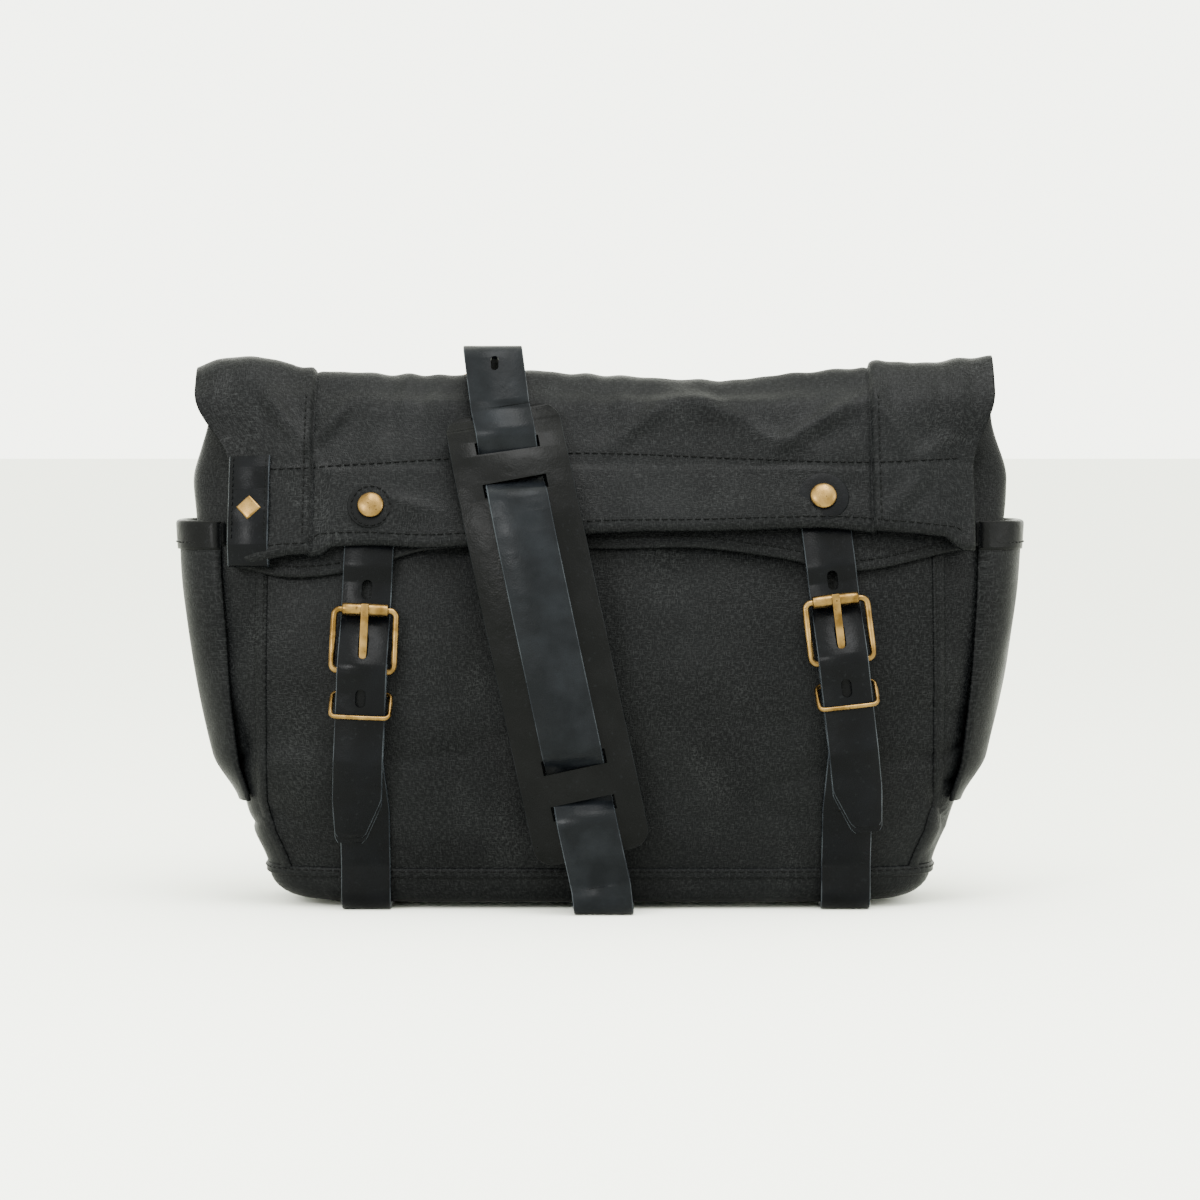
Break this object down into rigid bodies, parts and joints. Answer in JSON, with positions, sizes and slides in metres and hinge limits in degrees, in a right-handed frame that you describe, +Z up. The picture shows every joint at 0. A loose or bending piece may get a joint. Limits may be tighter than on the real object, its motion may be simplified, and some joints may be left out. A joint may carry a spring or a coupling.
{
  "type": "messenger bag",
  "caption": "Fold-over canvas messenger bag with leather closure straps, roller buckles, press-studs, shoulder strap with pad and side pockets",
  "frame": {"origin": "flat underside of the shoulder strap where it crosses under the middle of the bag, at floor level", "axes": "+X along the bag's width to the right as seen from the front, +Y to the back, +Z up"},
  "size_m": [0.4474, 0.166, 0.2863],
  "materials": {
    "anchor_rivet_rear": "antique",
    "anchor_rivet_short": "antique",
    "back_panel": "waxed, matt",
    "base_panel": "waxed, matt",
    "billet_left": "satin",
    "billet_right": "satin",
    "buckle_frame_left": "antique",
    "buckle_frame_rear": "antique",
    "buckle_frame_right": "antique",
    "flap_band_left": "waxed, matt",
    "flap_band_right": "waxed, matt",
    "flap_panel": "waxed, matt",
    "front_hem": "waxed, matt",
    "front_panel": "waxed, matt",
    "gusset_left": "waxed, matt",
    "gusset_right": "waxed, matt",
    "keeper_left": "antique",
    "keeper_right": "antique",
    "label_loop": "satin",
    "label_plate": "antique",
    "lower_strap_left": "satin",
    "lower_strap_right": "satin",
    "pocket_binding_left": "satin",
    "pocket_binding_right": "satin",
    "rivet_left": "antique",
    "rivet_right": "antique",
    "roller_left": "antique",
    "roller_rear": "antique",
    "roller_right": "antique",
    "shoulder_pad": "satin",
    "shoulder_strap_front": "satin",
    "shoulder_strap_rear": "satin",
    "shoulder_strap_short": "satin",
    "side_pocket_left": "waxed, matt",
    "side_pocket_right": "waxed, matt",
    "snap_cap_left": "antique",
    "snap_cap_right": "antique",
    "snap_socket_left": "antique",
    "snap_socket_right": "antique",
    "snap_stud_left": "antique",
    "snap_stud_right": "antique",
    "snap_washer_left": "waxed, matt",
    "snap_washer_right": "satin",
    "tongue_left": "antique",
    "tongue_right": "antique"
  },
  "bodies": {
    "bag": {"anchor_rivet_rear": "anchor_rivet_rear", "anchor_rivet_short": "anchor_rivet_short", "back_panel": "back_panel", "base_panel": "base_panel", "billet_left": "billet_left", "billet_right": "billet_right", "buckle_frame_left": "buckle_frame_left", "buckle_frame_rear": "buckle_frame_rear", "buckle_frame_right": "buckle_frame_right", "front_hem": "front_hem", "front_panel": "front_panel", "gusset_left": "gusset_left", "gusset_right": "gusset_right", "lower_strap_left": "lower_strap_left", "lower_strap_right": "lower_strap_right", "pocket_binding_left": "pocket_binding_left", "pocket_binding_right": "pocket_binding_right", "rivet_left": "rivet_left", "rivet_right": "rivet_right", "shoulder_strap_rear": "shoulder_strap_rear", "shoulder_strap_short": "shoulder_strap_short", "side_pocket_left": "side_pocket_left", "side_pocket_right": "side_pocket_right", "snap_stud_left": "snap_stud_left", "snap_stud_right": "snap_stud_right"},
    "flap": {"flap_panel": "flap_panel", "flap_band_left": "flap_band_left", "flap_band_right": "flap_band_right", "label_loop": "label_loop", "label_plate": "label_plate", "snap_cap_left": "snap_cap_left", "snap_cap_right": "snap_cap_right", "snap_socket_left": "snap_socket_left", "snap_socket_right": "snap_socket_right", "snap_washer_left": "snap_washer_left", "snap_washer_right": "snap_washer_right"},
    "shoulder_front": {"shoulder_strap_front": "shoulder_strap_front", "shoulder_pad": "shoulder_pad"},
    "tongue_left": {"tongue_left": "tongue_left"},
    "roller_left": {"roller_left": "roller_left"},
    "keeper_left": {"keeper_left": "keeper_left"},
    "tongue_right": {"tongue_right": "tongue_right"},
    "roller_right": {"roller_right": "roller_right"},
    "keeper_right": {"keeper_right": "keeper_right"},
    "roller_rear": {"roller_rear": "roller_rear"}
  },
  "joints": [
    {"name": "flap_fold", "type": "hinge", "parent": "bag", "child": "flap", "pos_m": [0, 0.01, 0.262], "axis": [-1, 0, 0], "range_deg": [0, 140]},
    {"name": "shoulder_fold", "type": "hinge", "parent": "bag", "child": "shoulder_front", "pos_m": [0, -0.075, 0.008], "axis": [1, 0, 0], "range_deg": [0, 84]},
    {"name": "tongue_swing_left", "type": "hinge", "parent": "bag", "child": "tongue_left", "pos_m": [-0.11929, -0.06722, 0.12237], "axis": [0.999, 0, -0.0436], "range_deg": [0, 8]},
    {"name": "roller_spin_left", "type": "hinge", "parent": "bag", "child": "roller_left", "pos_m": [-0.11794, -0.06181, 0.15308], "axis": [0.999, 0, -0.0436], "continuous": true},
    {"name": "keeper_slide_left", "type": "slide", "parent": "bag", "child": "keeper_left", "axis": [0.0435, 0.0572, 0.9974], "range_m": [-0.012, 0]},
    {"name": "tongue_swing_right", "type": "hinge", "parent": "bag", "child": "tongue_right", "pos_m": [0.12195, -0.06639, 0.12736], "axis": [0.9936, 0, 0.1132], "range_deg": [0, 8]},
    {"name": "roller_spin_right", "type": "hinge", "parent": "bag", "child": "roller_right", "pos_m": [0.11848, -0.06064, 0.15784], "axis": [0.9936, 0, 0.1132], "continuous": true},
    {"name": "keeper_slide_right", "type": "slide", "parent": "bag", "child": "keeper_right", "axis": [-0.1129, 0.0709, 0.9911], "range_m": [-0.012, 0]},
    {"name": "roller_spin_rear", "type": "hinge", "parent": "bag", "child": "roller_rear", "pos_m": [-0.055, 0.04316, 0.27085], "axis": [1, 0, 0], "continuous": true}
  ],
  "couplings": [
    {"joint": "shoulder_fold", "follows": "flap_fold", "ratio": 0.6}
  ]
}
